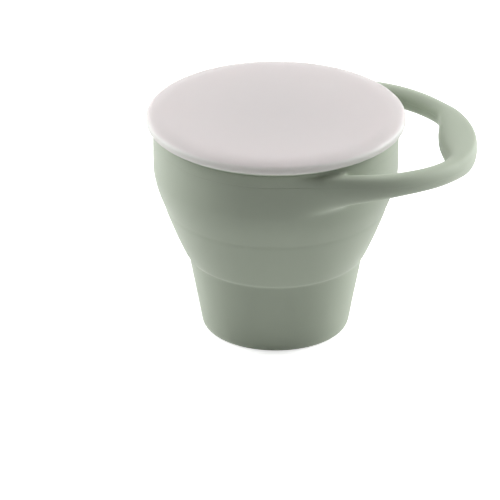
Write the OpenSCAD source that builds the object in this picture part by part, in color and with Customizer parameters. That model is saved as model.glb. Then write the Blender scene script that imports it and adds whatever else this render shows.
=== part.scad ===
// Collapsible snack cup for a small child: a soft cup that folds flat, a push-in
// lid with six curved slits, a loop handle with a wide grip, and a snap-over cover.
// Millimetres. The origin is the centre of the foot, +Z is up, the handle points along +X.
// The cup stands opened to its full height, with the lid and the cover on.

/* [Cup] */
// Height of the cup's rim above the table, with the cup opened
rim_h = 80; // [78:0.5:88]
// Outer radius of the upper band
band_r = 45; // [43.5:0.25:49]
// How much narrower the very top of the band is
rim_taper = 0.4; // [0.2:0.1:0.8]
// Outer radius at the upper fold line
upper_fold_r = 41.1; // [39:0.1:42.5]
// Height of the upper fold line
upper_fold_h = 50; // [47:0.5:52]
// Outer radius at the lower fold line
lower_fold_r = 32.2; // [31:0.1:34]
// Height of the lower fold line
lower_fold_h = 29; // [26:0.5:31]
// Radius of the foot
foot_r = 27.4; // [25:0.1:29]
// Rounding of the foot's outer edge
foot_round = 2; // [0.5:0.1:2.5]
// Wall thickness of the soft cup
wall = 2; // [1.6:0.1:2.4]
// Thickness of the cup's floor
floor_t = 2.6; // [1.8:0.1:4]
// Height over which the band swells out above the upper fold
shoulder_h = 14; // [10:0.5:15]
// Width of the ledge at the lower fold line
fold_ledge = 0.9; // [0.3:0.1:1.5]
// Outward bow of the folding wall between the two fold lines
web_bow = 0.5; // [0:0.1:1]

/* [Slit lid] */
// How far the lid's bead stands out past the cup's rim
bead_lip = 1.1; // [0.6:0.1:1.6]
// Height of the bead
bead_t = 3.5; // [3:0.1:4.5]
// Depth of the flaps below the top of the bead
flap_recess = 2.3; // [1.5:0.1:2.5]
// Thickness of the flaps
flap_t = 1.6; // [1:0.1:2]
// How far the tips of the flaps hang below their hinges
flap_sag = 2; // [0.5:0.1:3]
// Depth of the lid's plug inside the cup's mouth
plug_depth = 5; // [3:0.5:8]
// Wall thickness of the plug
plug_t = 1.4; // [1:0.1:2]
// Radius of the ring of round holes that end the slits
slit_end_r = 37.9; // [36:0.1:38.5]
// Radius of the round hole at the end of a slit
slit_hole_r = 1.1; // [1:0.1:1.4]
// Distance from the lid's middle to the centre of a slit's arc
slit_centre_r = 27.2; // [26:0.1:28]
// Angle from a slit's end hole back to the centre of its arc
slit_lean = 53.8; // [50:0.2:58]
// Width of a slit at its end hole
slit_w_end = 2.1; // [1.6:0.1:2.4]
// Width of a slit near the middle of the lid
slit_w_mid = 3.3; // [2.6:0.1:3.8]
// Radius of the opening at the middle of the lid
eye_r = 5.8; // [5:0.1:7]
// Angle of the first slit's end hole, counted from the handle
lid_turn = 25; // [0:1:59]

/* [Cover] */
// Wall thickness of the cover's skirt
cover_t = 1.5; // [1.2:0.1:2]
// Thickness of the cover at its shoulder
cover_edge_t = 1.6; // [1.4:0.1:2.4]
// Thickness of the cover at its middle
cover_top_t = 1.6; // [1:0.1:2]
// Height of the cover's middle above its shoulder
cover_dome = 0.7; // [0.4:0.1:2]
// Rounding between the cover's top and its skirt
cover_round = 2.6; // [1.8:0.1:3]
// How far the skirt stops above the cup's rim
skirt_gap = 1.4; // [0.5:0.1:1.6]
// How far the skirt's lower edge curls in
skirt_curl = 0.5; // [0.2:0.1:0.7]

/* [Handle] */
// Reach of the handle past the band
handle_out = 29.2; // [26:0.2:36]
// How far the loop's widest part stands out past the band's radius
loop_flare = 1; // [0:0.1:2]
// Width of an arm, seen from above
arm_w = 7; // [6:0.1:8]
// Height of an arm
arm_h = 8; // [7:0.1:9]
// Height of an arm's foot where it leaves the band
arm_foot_h = 12.6; // [10:0.2:13]
// Depth of the arms' middle below the rim
arm_drop = 5; // [4.5:0.1:7]
// Depth of the feet's middle below the rim
foot_drop = 8.2; // [8:0.1:9]
// Width of the grip at the end of the loop
grip_w = 14.4; // [10:0.2:15]
// Height of the grip
grip_h = 8.6; // [7:0.1:9]
// Half of the angle that the grip spans on the loop
grip_angle = 30; // [24:1:40]
// How far the end of the soft loop hangs below the arms' roots
loop_droop = 4.6; // [0:0.2:6]

/* [Fits] */
// Clearance between the lid's plug and the cup's mouth
plug_gap = 0.3; // [0.2:0.05:0.4]
// Clearance between the cover and the lid's bead
cover_gap = 0.3; // [0.2:0.05:0.5]
// Clearance between a flap and the lid along its hinge
hinge_gap = 0.12; // [0.06:0.02:0.3]

/* [Hidden] */

SAGE = [0.60, 0.66, 0.56];
SAGE_LIGHT = [0.72, 0.76, 0.68];
FROST = [0.88, 0.84, 0.84, 0.85];

$fn = 96;
// Steps of a small arc, of a gently curved wall and of the flaps' sag
ARC_STEPS = 6;
WALL_STEPS = 8;
SAG_STEPS = 6;

// The cup's mouth, whose bore is straight from the shoulder up
mouth_r = band_r - wall;
rim_r = band_r - rim_taper;
shoulder_z = upper_fold_h + shoulder_h;
// Straight stretch of the band, below the taper at its top
taper_h = 8;

// The lid: a bead on the rim, a plug in the mouth and flaps in between
flap_count = 6;
flap_step = 360 / flap_count;
bead_r = rim_r + bead_lip;
bead_top = rim_h + bead_t;
plug_r = mouth_r - plug_gap;
plug_in_r = plug_r - plug_t;
flap_top = bead_top - flap_recess;
flap_low = flap_top - flap_t;
hinge_r = slit_end_r * cos(flap_step / 2);
slit_arc_r = norm([slit_end_r * cos(slit_lean) - slit_centre_r, slit_end_r * sin(slit_lean)]);
// The slit's two edges are arcs about centres a little apart, so that the slit widens inwards
end_view = (slit_centre_r - slit_end_r * cos(slit_lean)) / slit_arc_r;
slit_spread = (slit_w_mid - slit_w_end) / (2 * (1 - end_view));
slit_half_w = slit_w_mid / 2 - slit_spread;

// The cover
skirt_in_r = bead_r + cover_gap;
cover_r = skirt_in_r + cover_t;
cover_low = rim_h + skirt_gap;
shelf_z = bead_top + cover_gap;
cover_edge_z = shelf_z + cover_edge_t;
under_dome = cover_edge_t + cover_dome - cover_top_t;

// The handle: straight arms from the band, then a half circle about [loop_x, 0]
loop_r = band_r + loop_flare - arm_w / 2;
loop_x = handle_out - loop_flare;
arm_z = rim_h - arm_drop;
foot_z = rim_h - foot_drop;
// The arms start inside the band, which cuts them off flush with its wall
root_x = 2;
root_y = band_r - arm_w / 2 - 1;
// Distance along X over which an arm's foot tapers to the arm
foot_from_x = 8;
foot_to_x = band_r - 6;
// The end of the loop, where it hangs lowest
tip_x = band_r + handle_out;
grip_face_r = loop_r + arm_w / 2 - grip_w;
grip_swell = ((loop_r - arm_w / 2) / grip_face_r - 1) / (1 - cos(grip_angle));
// How square the cross-sections are: 2 is an oval, more is squarer
ARM_SQUARE = 2.4;
GRIP_SQUARE = 3.4;
ARM_STATIONS = 9;
LOOP_STATIONS = 32;
RING_POINTS = 20;

// Value between a and b, for t from 0 to 1
function mix(a, b, t) = a + (b - a) * t;
// Smooth step from 0 at a to 1 at b
function ease(a, b, x) = let (t = max(0, min(1, (x - a) / (b - a)))) t * t * (3 - 2 * t);
// Points of an arc about [x, y] with radius r, from angle a to angle b
function arc(x, y, r, a, b) =
    [for (i = [0:ARC_STEPS]) let (t = mix(a, b, i / ARC_STEPS)) [x + r * cos(t), y + r * sin(t)]];
// The same outline stepped inwards by d
function inset(points, d) = [for (p = points) [p[0] - d, p[1]]];
function reversed(points) = [for (i = [len(points) - 1:-1:0]) points[i]];

// Outer outline of the band, from the upper fold to the rim
band_outline = concat(
    [for (i = [0:WALL_STEPS]) let (t = i / WALL_STEPS)
        [mix(upper_fold_r, band_r, sin(90 * t)), upper_fold_h + shoulder_h * t]],
    [[band_r, rim_h - taper_h], [mix(band_r, rim_r, 0.3), rim_h - taper_h / 2], [rim_r, rim_h]]);

// Outer outline of the folding wall, from the lower fold to the upper fold
web_outline = concat(
    [[lower_fold_r, lower_fold_h]],
    [for (i = [0:WALL_STEPS]) let (t = i / WALL_STEPS)
        [mix(lower_fold_r + fold_ledge, upper_fold_r, t) + web_bow * sin(180 * t),
         mix(lower_fold_h + 1, upper_fold_h, t)]]);

// Outline of the base: floor, rounded foot and flaring wall
module base_outline() {
    inner_foot_r = foot_r - wall;
    polygon(concat(
        [[0, 0]],
        arc(foot_r - foot_round, foot_round, foot_round, -90, 0),
        [[lower_fold_r, lower_fold_h], [lower_fold_r - wall, lower_fold_h]],
        arc(inner_foot_r - foot_round, floor_t + foot_round, foot_round, 0, -90),
        [[0, floor_t]]));
}

// Round base of the cup, which stays still on the table
module base_cup() {
    color(SAGE) rotate_extrude() base_outline();
}

// Conical wall between the fold lines, which turns inside out as the cup collapses
module fold_web() {
    color(SAGE) rotate_extrude() polygon(concat(web_outline, reversed(inset(web_outline, wall))));
}

// Upper band of the cup, with a straight bore for the lid's plug
module rim_band() {
    swell = [for (p = band_outline) if (p[1] <= shoulder_z) p];
    color(SAGE) rotate_extrude()
        polygon(concat(band_outline, [[mouth_r, rim_h]], reversed(inset(swell, wall))));
}

// Closed surface through rings that each have the same number of points
module loft(rings) {
    n = len(rings[0]);
    last = len(rings) - 1;
    polyhedron(
        points = [for (ring = rings) each ring],
        faces = concat(
            [[for (j = [0:n - 1]) j]],
            [[for (j = [n - 1:-1:0]) last * n + j]],
            [for (i = [0:last - 1], j = [0:n - 1]) let (k = (j + 1) % n)
                [i * n + j, (i + 1) * n + j, (i + 1) * n + k]],
            [for (i = [0:last - 1], j = [0:n - 1]) let (k = (j + 1) % n)
                [i * n + j, (i + 1) * n + k, i * n + k]]),
        convexity = 6);
}

// Height of the handle's middle at x: low where the arms' feet fan out, and at the drooping tip
function handle_z(x) =
    let (foot = 1 - ease(foot_from_x, foot_to_x, x),
         hang = max(0, (x - foot_from_x) / (tip_x - foot_from_x)))
    mix(arm_z, foot_z, foot) - loop_droop * hang * hang;

// One cross-section of the handle: an oval or a rounded block, square to direction dir
function section(centre, z, dir, outer_w, inner_w, half_h, square) =
    [for (j = [0:RING_POINTS - 1])
        let (a = 360 * j / RING_POINTS,
             c = sign(cos(a)) * pow(abs(cos(a)), 2 / square),
             s = sign(sin(a)) * pow(abs(sin(a)), 2 / square),
             w = c > 0 ? outer_w : inner_w)
        [centre[0] + dir[0] * c * w, centre[1] + dir[1] * c * w, z + s * half_h]];

// Cross-sections of one arm; side is 1 or -1, and from is its end in the band
function arm_sections(side) =
    [for (i = [0:ARM_STATIONS - 1])
        let (t = i / ARM_STATIONS,
             x = mix(root_x, loop_x, t),
             y = mix(root_y, loop_r, t),
             foot = 1 - ease(foot_from_x, foot_to_x, x))
        section([x, side * y], handle_z(x), [0, side], arm_w / 2, arm_w / 2,
                mix(arm_h, arm_foot_h, foot) / 2, ARM_SQUARE)];

// Cross-sections of the half circle, with the grip in the middle
function loop_sections() =
    [for (i = [0:LOOP_STATIONS])
        let (a = 90 - 180 * i / LOOP_STATIONS,
             x = loop_x + loop_r * cos(a),
             foot = 1 - ease(foot_from_x, foot_to_x, x),
             grip = 1 - ease(grip_angle - 6, grip_angle + 8, abs(a)),
             face_r = grip_face_r * (1 + grip_swell * (1 - cos(a))),
             inner_w = max(arm_w / 2, loop_r - face_r))
        section([x, loop_r * sin(a)], handle_z(x), [cos(a), sin(a)], arm_w / 2, inner_w,
                mix(mix(arm_h, arm_foot_h, foot), grip_h, grip) / 2,
                mix(ARM_SQUARE, GRIP_SQUARE, grip))];

// Loop handle with a wide grip, moulded on to the band
module handle() {
    band_fill = concat([[0, upper_fold_h]], band_outline, [[0, rim_h]]);
    color(SAGE) difference() {
        loft(concat(arm_sections(1), loop_sections(), reversed(arm_sections(-1))));
        rotate_extrude() polygon(band_fill);
    }
}

// Places its children at each end hole of the slits
module at_slit_ends() {
    for (k = [0:flap_count - 1]) rotate(lid_turn + flap_step * k) translate([slit_end_r, 0]) children();
}

// Rounded bead that lies on the rim and laps over it
module bead_outline() {
    bead_w = bead_r - plug_in_r;
    end_r = bead_t / 2;
    translate([plug_in_r, rim_h]) {
        translate([end_r, end_r]) circle(end_r);
        translate([bead_w - end_r, end_r]) circle(end_r);
        translate([end_r, 0]) square([bead_w - bead_t, bead_t]);
    }
}

// Lid without its flaps: bead, plug and the rim that the flaps hinge on
module lid_ring() {
    color(SAGE_LIGHT) {
        rotate_extrude() {
            bead_outline();
            translate([plug_in_r, rim_h - plug_depth]) square([plug_t, plug_depth + bead_t / 2]);
        }
        translate([0, 0, flap_low]) linear_extrude(flap_t) difference() {
            circle(plug_in_r + plug_t / 2);
            rotate(lid_turn) circle(slit_end_r + hinge_gap / 2 / cos(flap_step / 2), $fn = flap_count);
            at_slit_ends() circle(slit_hole_r);
        }
    }
}

// Plan of flap k, between slits k and k + 1
module flap_plan(k) {
    end_angle = lid_turn + flap_step * (k - 1);
    far = slit_end_r * 2;
    difference() {
        rotate(end_angle + flap_step - slit_lean) translate([slit_centre_r + slit_spread, 0])
            circle(slit_arc_r - slit_half_w);
        rotate(end_angle - slit_lean) translate([slit_centre_r - slit_spread, 0])
            circle(slit_arc_r + slit_half_w);
        rotate(end_angle + flap_step / 2) translate([hinge_r - hinge_gap / 2, -far]) square(far * 2);
        at_slit_ends() circle(slit_hole_r);
        circle(eye_r);
    }
}

// Thin dish from which the flaps are cut: level at the hinges, lower in the middle
module flap_dish() {
    top = [for (i = [0:SAG_STEPS]) let (t = i / SAG_STEPS)
        [slit_end_r * t, flap_top - flap_sag * pow(1 - t, 2)]];
    bottom = [for (p = top) [p[0], p[1] - flap_t]];
    rotate_extrude() polygon(concat(top, reversed(bottom)));
}

// One flap of the lid, hinged along the straight line between two end holes
module flap(k) {
    color(SAGE_LIGHT) intersection() {
        flap_dish();
        translate([0, 0, flap_low - flap_sag - 1]) linear_extrude(flap_t + flap_sag + 2) flap_plan(k);
    }
}

// Cover that snaps over the bead: a shallow domed cap with a short skirt
module cover() {
    top_r = cover_r - cover_round;
    inner_round = cover_round - cover_t;
    under_r = skirt_in_r - inner_round;
    top = [for (i = [1:WALL_STEPS]) let (t = 1 - i / WALL_STEPS)
        [top_r * t, cover_edge_z + cover_dome * (1 - t * t)]];
    under = [for (i = [0:WALL_STEPS - 1]) let (t = i / WALL_STEPS)
        [under_r * t, shelf_z + under_dome * (1 - t * t)]];
    color(FROST) rotate_extrude() polygon(concat(
        [[cover_r - skirt_curl, cover_low], [cover_r - skirt_curl / 3, cover_low + cover_t / 2]],
        arc(top_r, cover_edge_z - cover_round, cover_round, 0, 90),
        top,
        under,
        arc(under_r, shelf_z - inner_round, inner_round, 90, 0),
        [[skirt_in_r, cover_low]]));
}

base_cup();
fold_web();
rim_band();
handle();
lid_ring();
flap(1);  // flap_1
flap(2);  // flap_2
flap(3);  // flap_3
flap(4);  // flap_4
flap(5);  // flap_5
flap(6);  // flap_6
cover();
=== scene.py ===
"""Looks of a folding snack cup: soft cup with a loop handle, slit lid and frosted cover.

Sizes are in millimetres in the classes below and become metres where a mesh is made.
The origin is the centre of the foot, +Z is up and the handle points along +X.
"""

import logging
import math
from contextlib import contextmanager
from dataclasses import dataclass
from enum import Enum
from typing import Any, Iterator, Mapping, Sequence

import bmesh
import bpy
from mathutils import Matrix, Vector
from mathutils.bvhtree import BVHTree


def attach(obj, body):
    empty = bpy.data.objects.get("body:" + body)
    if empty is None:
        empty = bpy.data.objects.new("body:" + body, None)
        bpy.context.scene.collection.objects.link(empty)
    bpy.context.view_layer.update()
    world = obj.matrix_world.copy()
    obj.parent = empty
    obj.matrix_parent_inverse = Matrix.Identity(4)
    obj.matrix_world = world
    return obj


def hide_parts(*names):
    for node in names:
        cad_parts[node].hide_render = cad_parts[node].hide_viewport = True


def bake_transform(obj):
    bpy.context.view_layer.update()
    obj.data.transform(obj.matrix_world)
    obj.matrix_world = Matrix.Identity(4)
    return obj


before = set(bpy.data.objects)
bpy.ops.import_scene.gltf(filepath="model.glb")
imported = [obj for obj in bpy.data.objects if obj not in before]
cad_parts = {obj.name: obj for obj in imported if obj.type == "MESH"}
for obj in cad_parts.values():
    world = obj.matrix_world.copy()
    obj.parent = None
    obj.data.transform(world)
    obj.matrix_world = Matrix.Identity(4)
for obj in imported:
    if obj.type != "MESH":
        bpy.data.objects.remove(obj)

log = logging.getLogger("snack_cup")

MM = 0.001
Point = tuple[float, float]
Place = tuple[float, float, float]
Colour = tuple[float, float, float]
Outline = Sequence[Point]
Ring = Sequence[Place]


class Body(Enum):
    """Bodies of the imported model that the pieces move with."""

    BASE = "base"
    RIM = "rim"
    LID = "lid"
    COVER = "cover"


class Slot(Enum):
    """Material slots of the record."""

    CUP = "cup_silicone"
    LID = "lid_silicone"
    COVER = "cover_frost"


# ---------------------------------------------------------------- small sums


def mix(a: float, b: float, t: float) -> float:
    """Returns the value between a and b, for t from 0 to 1."""
    return a + (b - a) * t


def ease(a: float, b: float, x: float) -> float:
    """Returns a smooth step of x, from 0 at a to 1 at b."""
    t = max(0.0, min(1.0, (x - a) / (b - a)))
    return t * t * (3 - 2 * t)


def squared(angle: float, power: float) -> Point:
    """Gives a point on a superellipse of half width and half height 1.

    Args:
        angle: where on the outline, in degrees.
        power: 2 is a circle, more is squarer.

    Returns:
        The point across and up.
    """
    c, s = math.cos(math.radians(angle)), math.sin(math.radians(angle))
    return (math.copysign(abs(c) ** (2 / power), c), math.copysign(abs(s) ** (2 / power), s))


def arc(x: float, y: float, r: float, a: float, b: float, steps: int) -> list[Point]:
    """Gives points along an arc.

    Args:
        x: centre, across.
        y: centre, up.
        r: radius.
        a: first angle, in degrees.
        b: last angle, in degrees.
        steps: number of stretches.

    Returns:
        steps + 1 points.
    """
    angles = [math.radians(mix(a, b, i / steps)) for i in range(steps + 1)]
    return [(x + r * math.cos(t), y + r * math.sin(t)) for t in angles]


# ---------------------------------------------------------------- workbench


def clear_selection() -> None:
    """Leaves edit mode and deselects every object."""
    if bpy.context.object and bpy.context.object.mode != "OBJECT":
        bpy.ops.object.mode_set(mode="OBJECT")
    bpy.ops.object.select_all(action="DESELECT")


def pick(*objs: bpy.types.Object) -> None:
    """Selects only these objects and makes the first one active."""
    clear_selection()
    for obj in objs:
        obj.select_set(True)
    bpy.context.view_layer.objects.active = objs[0]


@contextmanager
def editing(obj: bpy.types.Object) -> Iterator[None]:
    """Opens obj in edit mode for as long as the with block runs."""
    pick(obj)
    bpy.ops.object.mode_set(mode="EDIT")
    yield
    bpy.ops.object.mode_set(mode="OBJECT")


def select_points(obj: bpy.types.Object, wanted: Sequence[int]) -> None:
    """Selects the vertices with these numbers and nothing else, in edit mode."""
    bpy.ops.mesh.select_mode(type="VERT")
    bpy.ops.mesh.select_all(action="DESELECT")
    mesh = bmesh.from_edit_mesh(obj.data)
    mesh.verts.ensure_lookup_table()
    for number in wanted:
        mesh.verts[number].select = True
    mesh.select_flush(True)
    bmesh.update_edit_mesh(obj.data)


def lay_points(obj: bpy.types.Object, numbers: Sequence[int], places: Ring) -> None:
    """Moves the numbered vertices to places given in millimetres, in edit mode."""
    mesh = bmesh.from_edit_mesh(obj.data)
    mesh.verts.ensure_lookup_table()
    for number, place in zip(numbers, places):
        mesh.verts[number].co = Vector(place) * MM
    bmesh.update_edit_mesh(obj.data)


def apply_modifier(obj: bpy.types.Object, kind: str, **settings: Any) -> None:
    """Adds a modifier to obj, sets it and applies it.

    Args:
        obj: the mesh object.
        kind: Blender's name of the modifier type.
        **settings: its properties.
    """
    modifier = obj.modifiers.new(kind.title(), kind)
    for key, value in settings.items():
        setattr(modifier, key, value)
    pick(obj)
    bpy.ops.object.modifier_apply(modifier=modifier.name)


def soften(obj: bpy.types.Object, levels: int) -> None:
    """Rounds obj with a subdivision surface and shades it smooth."""
    apply_modifier(obj, "SUBSURF", levels=levels, render_levels=levels)
    pick(obj)
    bpy.ops.object.shade_smooth()


def tidy_mesh(gap: float = 0.004) -> None:
    """Merges vertices closer than gap millimetres and turns faces outwards, in edit mode."""
    bpy.ops.mesh.select_all(action="SELECT")
    bpy.ops.mesh.remove_doubles(threshold=gap * MM)
    bpy.ops.mesh.normals_make_consistent(inside=False)


def drawn_line(name: str, points: Outline) -> bpy.types.Object:
    """Draws an outline in the XZ plane by extruding one vertex from point to point.

    Args:
        name: name of the new object.
        points: radius and height of each point.

    Returns:
        The object, a chain of edges.
    """
    clear_selection()
    bpy.ops.mesh.primitive_plane_add(size=MM)
    obj = bpy.context.object
    obj.name = obj.data.name = name
    with editing(obj):
        # A vertex is extruded only in vertex mode, and an earlier piece may have left another
        bpy.ops.mesh.select_mode(type="VERT")
        bpy.ops.mesh.select_all(action="SELECT")
        bpy.ops.mesh.merge(type="CENTER")
        x, z = points[0]
        bpy.ops.transform.translate(value=(x * MM, 0, z * MM))
        for (x0, z0), (x1, z1) in zip(points, points[1:]):
            step = ((x1 - x0) * MM, 0, (z1 - z0) * MM)
            bpy.ops.mesh.extrude_vertices_move(TRANSFORM_OT_translate={"value": step})
    return obj


def turned(name: str, points: Outline, steps: int) -> bpy.types.Object:
    """Turns an outline about the cup's axis, as on a lathe.

    Args:
        name: name of the new object.
        points: radius and height of each point of the control outline.
        steps: number of facets round the axis.

    Returns:
        The closed mesh, a little wide so that rounding brings it to size.
    """
    obj = drawn_line(name, points)
    with editing(obj):
        bpy.ops.mesh.select_all(action="SELECT")
        bpy.ops.mesh.spin(steps=steps, angle=2 * math.pi, center=(0, 0, 0), axis=(0, 0, 1))
        tidy_mesh()
        wider = 3 / (2 + math.cos(2 * math.pi / steps))
        bpy.ops.mesh.select_all(action="SELECT")
        bpy.ops.transform.resize(value=(wider, wider, 1), center_override=(0, 0, 0))
    return obj


def lofted(name: str, rings: Sequence[Ring], capped: bool) -> bpy.types.Object:
    """Extrudes a loop of edges from ring to ring.

    Args:
        name: name of the new object.
        rings: points of each ring in millimetres, the same number in each.
        capped: whether both ends are closed with a face.

    Returns:
        The tube.
    """
    clear_selection()
    count = len(rings[0])
    bpy.ops.mesh.primitive_circle_add(vertices=count, radius=MM, fill_type="NOTHING")
    obj = bpy.context.object
    obj.name = obj.data.name = name
    with editing(obj):
        numbers = list(range(count))
        lay_points(obj, numbers, rings[0])
        if capped:
            select_points(obj, numbers)
            bpy.ops.mesh.edge_face_add()
        for ring in rings[1:]:
            select_points(obj, numbers)
            bpy.ops.mesh.extrude_edges_move(TRANSFORM_OT_translate={"value": (0, 0, 0)})
            mesh = bmesh.from_edit_mesh(obj.data)
            mesh.verts.ensure_lookup_table()
            numbers = [
                next(e.other_vert(mesh.verts[n]).index for e in mesh.verts[n].link_edges
                     if e.other_vert(mesh.verts[n]).select)
                for n in numbers
            ]
            lay_points(obj, numbers, ring)
        if capped:
            select_points(obj, numbers)
            bpy.ops.mesh.edge_face_add()
            tidy_mesh()
    return obj


def turned_copy(obj: bpy.types.Object, name: str, degrees: float) -> bpy.types.Object:
    """Copies a piece, with its own mesh, turned about the cup's axis.

    Args:
        obj: the piece to copy.
        name: name of the copy.
        degrees: how far the copy is turned.

    Returns:
        The copy, at the origin and unturned, with the turn in its mesh.
    """
    pick(obj)
    bpy.ops.object.duplicate(linked=False)
    copy = bpy.context.object
    copy.name = copy.data.name = name
    copy.data.transform(Matrix.Rotation(math.radians(degrees), 4, "Z"))
    return copy


def dress(obj: bpy.types.Object, material: bpy.types.Material) -> None:
    """Gives obj its material."""
    obj.data.materials.clear()
    obj.data.materials.append(material)


def report(obj: bpy.types.Object) -> None:
    """Logs a finished piece with its number of faces."""
    log.info("%s: %d faces", obj.name, len(obj.data.polygons))


# ---------------------------------------------------------------- finishes


class Wire:
    """A number on its way through a material. Sums of wires add Math nodes."""

    def __init__(self, board: "Board", socket: bpy.types.NodeSocket) -> None:
        """Keeps the board and the socket that the number comes from."""
        self.board = board
        self.socket = socket

    def _maths(self, operation: str, first: Any, second: Any) -> "Wire":
        """Adds a Math node and returns its result."""
        return self.board.add("ShaderNodeMath", {"operation": operation}, {0: first, 1: second})

    def __add__(self, other: Any) -> "Wire":
        """Returns self + other."""
        return self._maths("ADD", self, other)

    __radd__ = __add__

    def __sub__(self, other: Any) -> "Wire":
        """Returns self - other."""
        return self._maths("SUBTRACT", self, other)

    def __rsub__(self, other: Any) -> "Wire":
        """Returns other - self."""
        return self._maths("SUBTRACT", other, self)

    def __mul__(self, other: Any) -> "Wire":
        """Returns self * other."""
        return self._maths("MULTIPLY", self, other)

    __rmul__ = __mul__


class Board:
    """Node board of one material or of the world."""

    def __init__(self, owner: bpy.types.ID) -> None:
        """Clears the owner's nodes and keeps its tree."""
        owner.use_nodes = True
        self.tree = owner.node_tree
        self.tree.nodes.clear()

    def add(self, kind: str, settings: Mapping[str, Any], inputs: Mapping[Any, Any],
            out: Any = 0) -> Wire:
        """Adds a node.

        Args:
            kind: the node's type.
            settings: its properties, set before its sockets.
            inputs: value or wire of each named or numbered input.
            out: name or number of the output to return.

        Returns:
            That output.
        """
        node = self.tree.nodes.new(kind)
        for key, value in settings.items():
            setattr(node, key, value)
        for key, value in inputs.items():
            if isinstance(value, Wire):
                self.tree.links.new(value.socket, node.inputs[key])
            else:
                node.inputs[key].default_value = value
        return Wire(self, node.outputs[out] if len(node.outputs) else None)

    def tint(self, share: Wire, first: Colour | Wire, second: Colour | Wire) -> Wire:
        """Returns a colour between two colours; share is 0 for the first."""
        ends = [end if isinstance(end, Wire) else (*end, 1) for end in (first, second)]
        return self.add("ShaderNodeMix", {"data_type": "RGBA"},
                        {0: share, 6: ends[0], 7: ends[1]}, out=2)

    def noise(self, place: Wire, per_metre: float, detail: float, rough: float = 0.5) -> Wire:
        """Returns noise on a place, with this many waves to the metre."""
        return self.add("ShaderNodeTexNoise", {"noise_dimensions": "3D"},
                        {"Vector": place, "Scale": per_metre, "Detail": detail,
                         "Roughness": rough})

    def bump(self, strength: float, relief: float, height: Wire) -> Wire:
        """Returns the normal over a height map that stands this many millimetres high."""
        return self.add("ShaderNodeBump", {}, {"Strength": strength, "Distance": relief * MM,
                                               "Height": height}, out="Normal")

    def place(self) -> Wire:
        """Returns the place on the object."""
        return self.add("ShaderNodeTexCoord", {}, {}, out="Object")

    def seen(self) -> Wire:
        """Returns 1 for a ray of the camera, of a reflection or through glass, else 0."""
        kinds = ("Is Camera Ray", "Is Glossy Ray", "Is Transmission Ray")
        rays = [self.add("ShaderNodeLightPath", {}, {}, out=kind) for kind in kinds]
        return self.add("ShaderNodeMath", {"operation": "MINIMUM"}, {0: sum(rays), 1: 1.0})


@dataclass(frozen=True)
class Silicone:
    """Matte soft-touch silicone with a powdery skin."""

    name: str
    colour: Colour
    deep: Colour
    roughness: float = 0.56
    glow: float = 0.12
    sheen: float = 0.35
    # Waves to the metre of its cloudiness, of its pores and of the dust on it
    clouds: float = 55.0
    pores: float = 1500.0
    dust: float = 420.0
    # Strength of its grain, and how high the grain stands and how deep light goes, in mm
    grain: float = 0.35
    relief: float = 0.03
    depth: float = 1.6

    def material(self) -> bpy.types.Material:
        """Builds the material.

        Returns:
            It, with a fine orange-peel skin and faint cloudiness.
        """
        material = bpy.data.materials.new(self.name)
        board = Board(material)
        place = board.place()
        cloud = board.noise(place, self.clouds, 3.0, 0.6)
        skin = board.noise(place, self.pores, 2.0, 0.55)
        dust = board.noise(place, self.dust, 4.0, 0.7)
        bump = board.bump(self.grain, self.relief, skin + dust * 0.6)
        shader = board.add("ShaderNodeBsdfPrincipled", {}, {
            "Base Color": board.tint(cloud * 0.7 + dust * 0.3, self.deep, self.colour),
            "Roughness": self.roughness + (dust - 0.5) * 0.10,
            "Normal": bump,
            "IOR": 1.41,
            "Specular IOR Level": 0.42,
            "Subsurface Weight": self.glow,
            "Subsurface Radius": (1.0, 1.0, 0.8),
            "Subsurface Scale": self.depth * MM,
            "Sheen Weight": self.sheen,
            "Sheen Roughness": 0.45,
            "Sheen Tint": (0.93, 0.96, 0.90, 1.0),
        })
        board.add("ShaderNodeOutputMaterial", {}, {"Surface": shader})
        return material


@dataclass(frozen=True)
class Frost:
    """Frosted translucent plastic, faintly pink."""

    name: str
    colour: Colour
    deep: Colour
    # rim is painted light: a lighter, less pink colour for the skirt, standing in for light coming
    # through the plastic there
    rim: Colour
    roughness: float = 0.5
    # How much of what lies behind it is hidden, and how far light spreads in it, in mm
    density: float = 0.83
    depth: float = 8.0
    # Heights between which the colour goes over to the rim's painted glow, lighter and less pink,
    # standing in for light coming through the plastic of the skirt
    painted_glow_low: float = 83.6
    painted_glow_high: float = 84.8
    # Waves to the metre of its cloudiness and of its etched skin
    clouds: float = 38.0
    etching: float = 2200.0
    # Strength of the etched grain and how high it stands, in mm
    grain: float = 0.25
    relief: float = 0.02

    def material(self) -> bpy.types.Material:
        """Builds the material.

        Returns:
            It, with an etched skin and a painted glow on the rim: lighter and less pink on the
            skirt, for light coming through the plastic there.
        """
        material = bpy.data.materials.new(self.name)
        board = Board(material)
        place = board.place()
        cloud = board.noise(place, self.clouds, 2.0, 0.5)
        etch = board.noise(place, self.etching, 2.0, 0.6)
        height = board.add("ShaderNodeSeparateXYZ", {}, {"Vector": place}, out="Z")
        # Painted glow: towards the skirt the colour goes over to the lighter, less pink rim colour,
        # for light coming through the plastic
        top = board.add("ShaderNodeMapRange", {"interpolation_type": "SMOOTHSTEP"}, {
            "Value": height, "From Min": self.painted_glow_low * MM, "From Max": self.painted_glow_high * MM})
        shader = board.add("ShaderNodeBsdfPrincipled", {}, {
            "Base Color": board.tint(top, self.rim, board.tint(cloud, self.deep, self.colour)),
            "Roughness": self.roughness + (etch - 0.5) * 0.12,
            "Normal": board.bump(self.grain, self.relief, etch),
            "IOR": 1.47,
            "Alpha": self.density,
            "Subsurface Weight": 1.0,
            "Subsurface Radius": (1.0, 0.94, 0.94),
            "Subsurface Scale": self.depth * MM,
        })
        board.add("ShaderNodeOutputMaterial", {}, {"Surface": shader})
        return material


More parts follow.
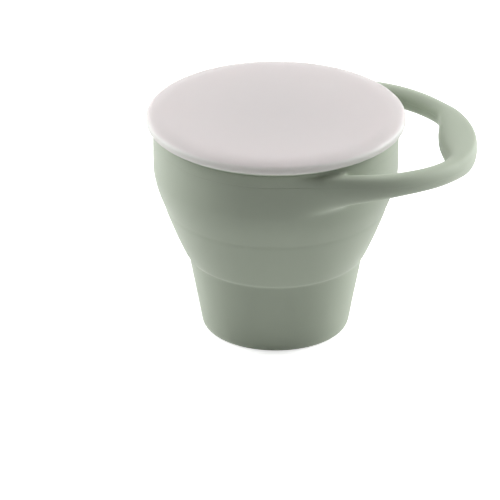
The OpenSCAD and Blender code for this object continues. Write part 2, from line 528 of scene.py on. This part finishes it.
CUP_SAGE = Silicone("cup_sage_silicone", (0.369, 0.416, 0.334), (0.345, 0.392, 0.310))
LID_SAGE = Silicone("lid_sage_silicone", (0.391, 0.440, 0.352), (0.369, 0.416, 0.329),
                    roughness=0.58, glow=0.18)
# The rim colour below is a painted glow for light coming through the cover's skirt
PINK_FROST = Frost("cover_frosted", (0.87, 0.735, 0.74), (0.84, 0.705, 0.71),
                   rim=(0.89, 0.83, 0.785))


# ---------------------------------------------------------------- the cup


@dataclass
class Cup:
    """The soft cup in one moulding: foot, folding wall, band and loop handle."""

    foot_r: float = 27.4
    lower_fold_z: float = 29.0
    upper_fold_z: float = 50.0
    band_r: float = 45.0
    rim_z: float = 80.0
    wall: float = 2.0
    floor: float = 2.6
    facets: int = 48
    # The wall is even between these heights
    even_from: float = 5.0
    even_to: float = 61.0
    # The arms leave the band between these angles and heights
    arm_from: float = 60.0
    arm_to: float = 82.5
    arm_low: float = 63.6
    arm_high: float = 78.4
    # The loop
    loop_x: float = 28.2
    loop_r: float = 42.5
    loop_z: float = 75.0
    root_z: float = 71.8
    droop: float = 4.6
    arm_w: float = 7.0
    arm_h: float = 8.0
    root_h: float = 12.6
    grip_w: float = 14.4
    grip_h: float = 8.6
    grip_angle: float = 30.0
    # How square the arms and the grip are in section, and points round a section
    arm_power: float = 2.4
    grip_power: float = 3.6
    around: int = 12
    # The root's thickness runs out between these places along X, and the loop droops from the first
    root_from: float = 8.0
    root_to: float = 50.0

    def outer(self) -> list[Point]:
        """Returns the control outline of the outer wall, from the foot to the rim."""
        return [
            (self.foot_r - 1.9, 0.0), (self.foot_r - 0.55, 0.35), (self.foot_r, 1.9),
            (28.0, 5.6), (28.75, 10.0), (29.6, 14.4), (30.4, 18.8), (31.25, 23.4), (31.95, 27.2),
            (32.15, 28.7), (32.6, 29.35), (33.25, 29.9), (34.0, 31.4), (35.3, 34.2),
            (36.9, 38.0), (38.4, 41.8), (39.75, 45.4), (40.65, 47.8), (40.97, 48.9),
            (41.12, 49.7), (41.65, 50.9), (42.2, 52.4), (43.15, 54.9), (44.1, 58.0), (44.8, 61.6),
            (45.02, self.arm_low), (45.02, 69.6), (45.02, 74.2),
            (self.band_r - 0.05, self.arm_high),
        ]

    def inner(self) -> list[Point]:
        """Returns the control outline of the inner wall, from the rim to the floor."""
        follow = [(r - self.wall, z) for r, z in reversed(self.outer())
                  if self.even_from < z < self.even_to]
        straight = self.band_r - self.wall
        return [
            (straight, self.rim_z - 0.5), (straight, 77.0), (straight, 70.5), (straight, 65.5),
            (straight - 0.15, 62.2), *follow, (25.7, 4.4), (24.6, 3.0), (22.8, self.floor),
        ]

    def shell(self) -> bpy.types.Object:
        """Turns the wall and opens it where the arms of the handle grow out.

        Returns:
            The cup without its handle, with two square holes in its outer skin.
        """
        outline = [(0.0, 0.0), (10.0, 0.0), (20.0, 0.0), *self.outer(),
                   (self.band_r - 0.28, self.rim_z - 0.4), (self.band_r - 0.55, self.rim_z),
                   (self.band_r - self.wall + 0.25, self.rim_z), *self.inner(),
                   (14.0, self.floor), (0.0, self.floor)]
        obj = turned("cup_body", outline, self.facets)
        with editing(obj):
            bpy.ops.mesh.select_mode(type="FACE")
            bpy.ops.mesh.select_all(action="DESELECT")
            mesh = bmesh.from_edit_mesh(obj.data)
            for face in mesh.faces:
                middle = face.calc_center_median() / MM
                angle = abs(math.degrees(math.atan2(middle.y, middle.x)))
                face.select = (self.arm_from < angle < self.arm_to
                               and self.arm_low < middle.z < self.arm_high
                               and middle.xy.length > self.band_r - self.wall / 2)
            bmesh.update_edit_mesh(obj.data)
            bpy.ops.mesh.delete(type="FACE")
        return obj

    def section(self, middle: Point, outer: Point, inner: Point, z: float, height: float,
                power: float) -> Ring:
        """Gives one ring of points round a cross-section of the handle.

        Args:
            middle: plan of the ring's middle.
            outer: plan of its outer side.
            inner: plan of its inner side.
            z: height of the middle.
            height: height of the section.
            power: how square the section is.

        Returns:
            The ring's points.
        """
        # Control points stand a little outside the curve that they round to
        step = 360 / self.around
        first, second = squared(step / 2, power)[0], squared(step * 1.5, power)[0]
        spread = 1 / (1 - (1 - second / first) / (2 * self.around))
        spread /= first
        ring = []
        for k in range(self.around):
            c, s = squared(step / 2 + step * k, power)
            side = outer if c > 0 else inner
            reach = abs(c) * spread
            ring.append((mix(middle[0], side[0], reach), mix(middle[1], side[1], reach),
                         z + s * spread * height / 2))
        return ring

    def stations(self) -> list[Ring]:
        """Returns the rings of the half loop on the side of +Y, from the band to the tip."""
        rings = []
        # Slanted rings where the arm leaves the band: outer side, inner side, height of the
        # middle and height of the section
        for outer, inner, z, height in (((15.5, 45.6), (26.6, 39.6), 72.35, 12.2),
                                        ((26.5, 46.1), (31.4, 39.1), 73.2, 10.6)):
            middle = (mix(inner[0], outer[0], 0.5), mix(inner[1], outer[1], 0.5))
            rings.append(self.section(middle, outer, inner, z, height, self.arm_power))
        for degrees in (80, 69, 58, 48, 41, 36, 31.5, 27, 21, 11, 0):
            rings.append(self.loop_ring(degrees))
        return rings

    def hang(self, x: float) -> float:
        """Returns how far the soft loop has sunk under its own weight at x."""
        tip = self.loop_x + self.loop_r + self.arm_w / 2
        return self.droop * max(0.0, (x - self.root_from) / (tip - self.root_from)) ** 2

    def loop_ring(self, degrees: float) -> Ring:
        """Returns the ring at this angle of the loop, wider where the grip is."""
        grip = 1 - ease(self.grip_angle - 6, self.grip_angle + 8, abs(degrees))
        a = math.radians(degrees)
        inside, outside = self.loop_r - self.arm_w / 2, self.loop_r + self.arm_w / 2
        # The grip's inner face is flatter than the loop and runs out into it at grip_angle
        face = outside - self.grip_w
        swell = (inside / face - 1) / (1 - math.cos(math.radians(self.grip_angle)))
        face_r = face * (1 + swell * (1 - math.cos(a)))
        x = self.loop_x + self.loop_r * math.cos(a)
        root = 1 - ease(self.root_from, self.root_to, x)
        middle, outer, inner = [(self.loop_x + r * math.cos(a), r * math.sin(a))
                                for r in (self.loop_r, outside, min(inside, face_r))]
        z = mix(self.loop_z, self.root_z, root) - self.hang(x)
        height = mix(mix(self.arm_h, self.root_h, root), self.grip_h, grip)
        return self.section(middle, outer, inner, z, height,
                            mix(self.arm_power, self.grip_power, grip))

    def loop(self) -> bpy.types.Object:
        """Extrudes the handle from ring to ring round the loop.

        Returns:
            The open tube from one side of the band to the other.
        """
        half = self.stations()
        mirrored = [[(x, -y, z) for x, y, z in ring] for ring in reversed(half[:-1])]
        return lofted("cup_loop", [*half, *mirrored], capped=False)

    def build(self) -> bpy.types.Object:
        """Joins the loop to the shell and rounds them together.

        Returns:
            The finished cup.
        """
        shell, loop = self.shell(), self.loop()
        pick(shell, loop)
        bpy.ops.object.join()
        for side in (1, -1):
            with editing(shell):
                bpy.ops.mesh.select_mode(type="EDGE")
                bpy.ops.mesh.select_all(action="DESELECT")
                mesh = bmesh.from_edit_mesh(shell.data)
                for edge in mesh.edges:
                    middle = (edge.verts[0].co + edge.verts[1].co) / 2
                    edge.select = edge.is_boundary and middle.y * side > 0
                bmesh.update_edit_mesh(shell.data)
                bpy.ops.mesh.bridge_edge_loops()
        with editing(shell):
            tidy_mesh()
        soften(shell, 2)
        dress(shell, CUP_SAGE.material())
        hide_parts("base_cup", "fold_web", "rim_band", "handle")
        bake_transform(shell)
        report(shell)
        return shell


@dataclass
class PartingLines:
    """Thin ridges that the mould's halves leave round the band and the handle."""

    cup: Cup
    z: float = 75.0
    thick: float = 0.26
    proud: float = 0.07
    # Rays start this far out, or this far from the axis in the handle's opening
    away: float = 60.0
    opening_r: float = 46.6
    # Where the opening's line turns from the band on to the arm, in degrees round the cup
    corner: int = 57

    def surface(self, tree: BVHTree, start: Point, toward: Point,
                sink: float = 0.0) -> Place | None:
        """Finds where a level ray meets the cup.

        Args:
            tree: the cup's faces.
            start: plan of the ray's start.
            toward: direction of the ray in plan.
            sink: how far below its height on the band the line runs there.

        Returns:
            Middle of the ridge there, in millimetres, or None if the ray misses.
        """
        way = Vector((*toward, 0)).normalized()
        hit = tree.ray_cast(Vector((*start, self.z - sink)) * MM, way)[0]
        if hit is None:
            return None
        place = hit / MM + way * (self.thick / 2 - self.proud)
        return (place.x, place.y, self.z - sink)

    def outer_path(self, tree: BVHTree) -> list[Place]:
        """Returns the closed path round the outside of the band and the loop."""
        path = []
        for degrees in range(-90, 91, 3):
            a = math.radians(degrees)
            way = (-math.cos(a), -math.sin(a))
            x = self.cup.loop_x + (self.cup.loop_r + self.cup.arm_w / 2) * math.cos(a)
            start = (self.cup.loop_x - self.away * way[0], -self.away * way[1])
            path.append(self.surface(tree, start, way, self.cup.hang(x)))
        arm = (25, 22, 19, 16, 13, 10, 8, 6, 4, 2)
        for x in arm:
            path.append(self.surface(tree, (x, self.away), (0, -1), self.cup.hang(x)))
        for degrees in range(90, 271, 4):
            a = math.radians(degrees)
            way = (-math.cos(a), -math.sin(a))
            path.append(self.surface(tree, (-self.away * way[0], -self.away * way[1]), way))
        for x in reversed(arm):
            path.append(self.surface(tree, (x, -self.away), (0, 1), self.cup.hang(x)))
        return [p for p in path if p]

    def inner_path(self, tree: BVHTree) -> list[Place]:
        """Returns the closed path round the opening of the handle."""
        path = []
        for degrees in range(-84, 85, 3):
            a = math.radians(degrees)
            # Near the band the ray starts further out, past the cup's wall
            start = 37.0 if abs(degrees) > 70 else 30.6
            way = (math.cos(a), math.sin(a))
            x = self.cup.loop_x + (self.cup.loop_r - self.cup.arm_w / 2) * math.cos(a)
            path.append(self.surface(tree, (self.cup.loop_x + start * way[0], start * way[1]),
                                     way, self.cup.hang(x)))
        for degrees in range(self.corner, -self.corner - 1, -3):
            a = math.radians(degrees)
            way = (-math.cos(a), -math.sin(a))
            x, y = -self.opening_r * way[0], -self.opening_r * way[1]
            sink = self.cup.hang(x) * ease(self.corner - 20, self.corner, abs(degrees))
            path.append(self.surface(tree, (x, y), way, sink))
        return [p for p in path if p]

    def ridge(self, name: str, path: Ring) -> bpy.types.Object:
        """Sweeps a thin round bead along a closed path.

        Args:
            name: name of the ridge.
            path: its points.

        Returns:
            The ridge as a mesh.
        """
        curve = bpy.data.curves.new(name, "CURVE")
        curve.dimensions = "3D"
        curve.bevel_depth = self.thick / 2 * MM
        curve.bevel_resolution = 2
        spline = curve.splines.new("POLY")
        spline.points.add(len(path) - 1)
        for point, place in zip(spline.points, path):
            point.co = (*(Vector(place) * MM), 1)
        spline.use_cyclic_u = True
        obj = bpy.data.objects.new(name, curve)
        bpy.context.scene.collection.objects.link(obj)
        pick(obj)
        bpy.ops.object.convert(target="MESH")
        bpy.ops.object.shade_smooth()
        return obj

    def build(self, body: bpy.types.Object) -> list[bpy.types.Object]:
        """Lays both ridges on the finished cup.

        Args:
            body: the cup that they lie on.

        Returns:
            The ridges, riding with the band.
        """
        tree = BVHTree.FromObject(body, bpy.context.evaluated_depsgraph_get())
        material = body.data.materials[0]
        ridges = []
        for name, path in (("parting_line_outer", self.outer_path(tree)),
                           ("parting_line_inner", self.inner_path(tree))):
            obj = self.ridge(name, path)
            dress(obj, material)
            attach(obj, Body.RIM.value)
            report(obj)
            ridges.append(obj)
        return ridges


# ---------------------------------------------------------------- the slit lid


@dataclass
class SlitLid:
    """Push-in lid: rounded bead, plug, and six curved flaps between six slits."""

    bead_low: float = 80.0
    bead_top: float = 83.5
    plug_low: float = 75.0
    plug_in: float = 41.3
    plug_out: float = 42.7
    skin_top: float = 81.2
    skin_t: float = 1.6
    sag: float = 2.0
    # Flaps reach out to this radius, where the plain rim of the lid begins
    join_r: float = 39.3
    # Slits end in holes of this radius on a circle of that one
    hole_r: float = 1.1
    end_r: float = 37.9
    # Arcs of the slits: place and lean of their centres, radius, and how their sides differ
    centre_r: float = 27.2
    lean: float = 53.8
    arc_r: float = 30.96
    spread: float = 0.711
    half_w: float = 0.939
    # Open middle, rounded tips of the flaps and rounded edges
    eye_r: float = 5.9
    tip_round: float = 2.4
    tip_share: float = 0.42
    edge: float = 0.45
    turn: float = 25.0
    count: int = 6
    # A flap bends over this stretch, inwards from its hinge line
    bend_l: float = 9.0

    def level(self, r: float) -> float:
        """Returns the height of the flaps' upper side at this radius."""
        return self.skin_top - self.sag * max(0.0, 1 - r / self.end_r) ** 2

    def slit_side(self, r: float, middle_r: float, radius: float) -> float:
        """Gives where one side of a slit crosses a radius.

        Args:
            r: distance from the lid's middle.
            middle_r: distance of the arc's centre from the lid's middle.
            radius: radius of the arc.

        Returns:
            Angle from the arc's centre, in degrees.
        """
        cosine = (r * r + middle_r * middle_r - radius * radius) / (2 * r * middle_r)
        return math.degrees(math.acos(max(-1.0, min(1.0, cosine))))

    def hole_side(self, r: float) -> float:
        """Returns the half angle that an end hole takes at this radius, in degrees."""
        cosine = (r * r + self.end_r**2 - self.hole_r**2) / (2 * r * self.end_r)
        return math.degrees(math.acos(cosine)) if cosine < 1 else 0.0

    def span(self, r: float) -> Point:
        """Returns the angles between which flap 1 lies at this radius, in degrees."""
        first, second = self.turn, self.turn + 360 / self.count
        hole = self.hole_side(r)
        if r > self.end_r + self.hole_r:
            return first, second
        low = first - self.lean + self.slit_side(r, self.centre_r - self.spread,
                                                 self.arc_r + self.half_w)
        high = second - self.lean + self.slit_side(r, self.centre_r + self.spread,
                                                   self.arc_r - self.half_w)
        if r > self.end_r - self.hole_r:
            low, high = max(low, first + hole), min(high, second - hole)
        if r > self.end_r:
            low, high = first + hole, second - hole
        return low, high

    def radii(self) -> list[float]:
        """Returns the radii of a flap's rows, close together at its tip and its end holes."""
        tip = [self.eye_r + d for d in (0.0, 0.06, 0.22, 0.45, 0.8, 1.25, 1.8, 2.4, 3.2, 4.2)]
        inside, outside = self.end_r - self.hole_r, self.end_r + self.hole_r
        body = [mix(tip[-1] + 1.4, inside - 0.7, i / 18) for i in range(19)]
        hole = [self.end_r - self.hole_r * math.cos(math.radians(t))
                for t in (0, 18, 36, 54, 72, 90, 108, 126, 144, 162, 180)]
        return [*tip, *body, *hole, outside + 0.001, self.join_r]

    def flap_ring(self, r: float) -> Ring:
        """Returns one closed cross-section of flap 1, along a circle of this radius."""
        low, high = self.span(r)
        width = math.radians(high - low) * r
        from_tip = r - self.eye_r
        if from_tip < self.tip_round:
            narrow = math.sqrt(max(0.0, 1 - (1 - from_tip / self.tip_round) ** 2))
            narrow = mix(self.tip_share, 1.0, narrow)
            centre = mix(low, high, 0.5)
            low, high = mix(centre, low, narrow), mix(centre, high, narrow)
            width *= narrow
        plain = r > self.end_r + self.hole_r
        edge = 0.0001 if plain else min(self.edge, width / 4)
        steps = [0.0, 0.134, 0.5, 1.0]
        across = [edge * s for s in steps]
        across += [mix(edge, width - edge, i / 8) for i in range(1, 8)]
        across += [width - edge * s for s in reversed(steps)]
        upper, lower = [], []
        for u in across:
            a = math.radians(low) + u / r
            side = max(0.0, 1 - min(u, width - u) / edge)
            front = max(0.0, 1 - from_tip / self.edge)
            drop = self.edge if not plain else 0.0
            drop *= 1 - math.sqrt(max(0.0, 1 - min(1.0, side * side + front * front)))
            drop = min(drop, edge if from_tip > self.edge else self.edge)
            x, y, z = r * math.cos(a), r * math.sin(a), self.level(r)
            upper.append((x, y, z - drop))
            lower.append((x, y, z - self.skin_t + drop))
        return [*upper, *reversed(lower)]

    def bead(self) -> bpy.types.Object:
        """Turns the lid's fixed part: bead, plug and the rim of the skin.

        Returns:
            The piece, riding with the lid.
        """
        top, low, skin = self.bead_top, self.bead_low, self.skin_top
        under = skin - self.skin_t
        outline = [
            (self.join_r, skin), (40.2, skin), (40.95, skin + 0.02), (41.22, skin + 0.22),
            (41.32, skin + 0.8), (41.55, top - 0.62), (42.2, top - 0.12), (43.1, top + 0.04),
            (44.1, top - 0.16), (44.95, top - 0.62), (45.55, top - 1.35), (45.76, low + 1.4),
            (45.62, low + 0.62), (45.2, low + 0.1), (44.6, low), (43.2, low), (42.72, low - 0.1),
            (self.plug_out, low - 0.9), (self.plug_out, self.plug_low + 1.2),
            (42.66, self.plug_low + 0.25), (42.3, self.plug_low), (41.7, self.plug_low),
            (41.34, self.plug_low + 0.25), (self.plug_in, self.plug_low + 1.2),
            (self.plug_in, under - 0.5), (41.1, under - 0.08), (40.5, under),
            (self.join_r, under), (self.join_r, mix(under, skin, 0.5)), (self.join_r, skin),
        ]
        obj = turned("lid_bead", outline, 96)
        soften(obj, 1)
        dress(obj, LID_SAGE.material())
        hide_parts("lid_ring")
        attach(obj, Body.LID.value)
        report(obj)
        return obj

    def flaps(self, material: bpy.types.Material) -> list[bpy.types.Object]:
        """Makes one flap and turns copies of it round the lid.

        Args:
            material: the lid's silicone.

        Returns:
            The six flaps.
        """
        first = lofted("lid_flap_1", [self.flap_ring(r) for r in self.radii()], capped=True)
        pick(first)
        bpy.ops.object.shade_smooth_by_angle(angle=math.radians(50))
        made = [first]
        for k in range(1, self.count):
            made.append(turned_copy(first, f"lid_flap_{k + 1}", 360 / self.count * k))
        for k, flap in enumerate(made):
            dress(flap, material)
            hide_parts(f"flap_{k + 1}")
            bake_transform(flap)
            report(flap)
        return made

    def build(self) -> list[bpy.types.Object]:
        """Returns the lid's pieces."""
        bead = self.bead()
        return [bead, *self.flaps(bead.data.materials[0])]


# ---------------------------------------------------------------- the cover


@dataclass
class Cover:
    """Frosted cap that is pressed on over the lid's bead."""

    skirt_in: float = 46.0
    outer_r: float = 47.5
    low: float = 81.4
    # Inside, its height over the bead and in the middle
    shelf: float = 83.8
    under_z: float = 84.1
    # Its top is highest at the edge, dips towards the middle and is rounded off outwards
    edge_z: float = 85.85
    dish: float = 0.25
    round_w: float = 7.0
    round_h: float = 2.5

    def outline(self) -> list[Point]:
        """Returns the control outline, from the top's middle over the skirt to the underside."""
        top_r = self.outer_r - self.round_w
        under = self.under_z - self.shelf
        top = [(r, self.edge_z - self.dish * (1 - (r / top_r) ** 2)) for r in (0, 8, 20, 32, 40)]
        turn = arc(0.0, 0.0, 1.0, 82, 4, 6)
        shoulder = [(top_r + c * (self.round_w + 0.03), self.edge_z - self.round_h * (1 - s))
                    for c, s in turn]
        corner = self.skirt_in - 1.0
        inside = arc(corner, self.shelf - 1.0, 1.0, 0, 90, 3)
        below = [(r, self.shelf + under * (1 - (r / corner) ** 2)) for r in (40, 32, 20, 8, 0)]
        return [*top, *shoulder, (self.outer_r - 0.01, self.low + 1.1),
                (self.outer_r - 0.08, self.low + 0.4), (self.outer_r - 0.3, self.low + 0.06),
                (self.outer_r - 0.6, self.low), (self.skirt_in + 0.25, self.low),
                (self.skirt_in, self.low + 0.3), (self.skirt_in, self.low + 0.7), *inside,
                (43.6, self.shelf + 0.02), *below]

    def build(self) -> bpy.types.Object:
        """Returns the cover, riding with its own body."""
        obj = turned("cover_cap", self.outline(), 64)
        soften(obj, 2)
        dress(obj, PINK_FROST.material())
        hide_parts("cover")
        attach(obj, Body.COVER.value)
        report(obj)
        return obj


# ---------------------------------------------------------------- the studio


@dataclass(frozen=True)
class Lamp:
    """Soft lamp that points at the cup: where it hangs, its width and height, all in metres."""

    name: str
    place: Place
    size: tuple[float, float]
    watts: float


LAMPS = (
    Lamp("lamp_right", (1.0, 0.3, 0.55), (0.6, 0.6), 11.3),
    Lamp("lamp_right_low", (1.0, 0.67, 0.2), (0.6, 0.7), 1.6),
    Lamp("lamp_right_side", (1.15, 0.15, 0.15), (0.6, 0.3), 2.5),
    Lamp("lamp_left", (-1.1, 0.47, 0.35), (0.6, 0.7), 8.8),
    Lamp("lamp_left_low", (-0.8, 0.85, 0.25), (0.6, 0.6), 1.8),
    Lamp("lamp_top", (0.1, 0.0, 1.1), (0.5, 0.5), 3.8),
    Lamp("lamp_top_left", (-0.7, 0.3, 0.85), (0.6, 0.6), 4.9),
)


@dataclass
class Studio:
    """White table and backdrop, soft lamps and the camera."""

    floor: float = 6.0
    paper: float = 0.82
    # Light that the floor adds by itself, and how much more of it the camera sees
    glow: float = 0.09
    bleach: float = 0.6
    # Light of the surroundings
    air: float = 0.03
    # What the lamps point at
    aim: Place = (0.0, 0.0, 0.04)
    camera_at: Place = (-0.0769, -1.4762, 0.7544)
    pitch: float = 63.850
    yaw: float = -2.614
    lens: float = 319.5
    sensor: float = 36.0

    def table(self) -> None:
        """Lays a white floor that shows white and keeps the cup's shadow."""
        clear_selection()
        bpy.ops.mesh.primitive_plane_add(size=self.floor)
        obj = bpy.context.object
        obj.name = "floor"
        material = bpy.data.materials.new("floor_white")
        board = Board(material)
        paper = board.add("ShaderNodeBsdfDiffuse", {}, {"Color": (*[self.paper] * 3, 1)})
        shine = board.add("ShaderNodeEmission", {}, {
            "Color": (1, 1, 1, 1), "Strength": board.seen() * self.bleach + self.glow})
        surface = board.add("ShaderNodeAddShader", {}, {0: paper, 1: shine})
        board.add("ShaderNodeOutputMaterial", {}, {"Surface": surface})
        obj.data.materials.append(material)

    def backdrop(self) -> None:
        """Makes the surroundings white to look at and dimmer as a light."""
        world = bpy.data.worlds.new("studio")
        bpy.context.scene.world = world
        board = Board(world)
        light, white = [board.add("ShaderNodeBackground", {}, {"Color": (1, 1, 1, 1), "Strength": s})
                        for s in (self.air, 1.0)]
        surface = board.add("ShaderNodeMixShader", {}, {0: board.seen(), 1: light, 2: white})
        board.add("ShaderNodeOutputWorld", {}, {"Surface": surface})

    def hang_up(self, lamp: Lamp) -> None:
        """Hangs a lamp and points it at the cup."""
        data = bpy.data.lights.new(lamp.name, "AREA")
        data.shape = "RECTANGLE"
        data.size, data.size_y = lamp.size
        data.energy = lamp.watts
        obj = bpy.data.objects.new(lamp.name, data)
        obj.location = lamp.place
        way = Vector(self.aim) - Vector(lamp.place)
        obj.rotation_euler = way.to_track_quat("-Z", "Y").to_euler()
        bpy.context.scene.collection.objects.link(obj)

    def camera(self) -> None:
        """Sets up the camera at the photograph's viewing angle."""
        data = bpy.data.cameras.new("camera")
        data.sensor_width = self.sensor
        data.lens = self.lens
        obj = bpy.data.objects.new("camera", data)
        obj.location = self.camera_at
        obj.rotation_euler = (math.radians(self.pitch), 0.0, math.radians(self.yaw))
        bpy.context.scene.collection.objects.link(obj)
        bpy.context.scene.camera = obj

    def build(self) -> None:
        """Sets the stage."""
        bpy.context.scene.view_settings.view_transform = "Standard"
        self.table()
        self.backdrop()
        for lamp in LAMPS:
            self.hang_up(lamp)
        self.camera()


# ---------------------------------------------------------------- all together


def main() -> None:
    """Builds every piece and the studio."""
    logging.basicConfig(level=logging.INFO, format="%(name)s %(message)s")
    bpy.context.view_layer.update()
    cup = Cup()
    PartingLines(cup).build(cup.build())
    SlitLid().build()
    Cover().build()
    Studio().build()
    clear_selection()


if __name__ == "__main__":
    main()
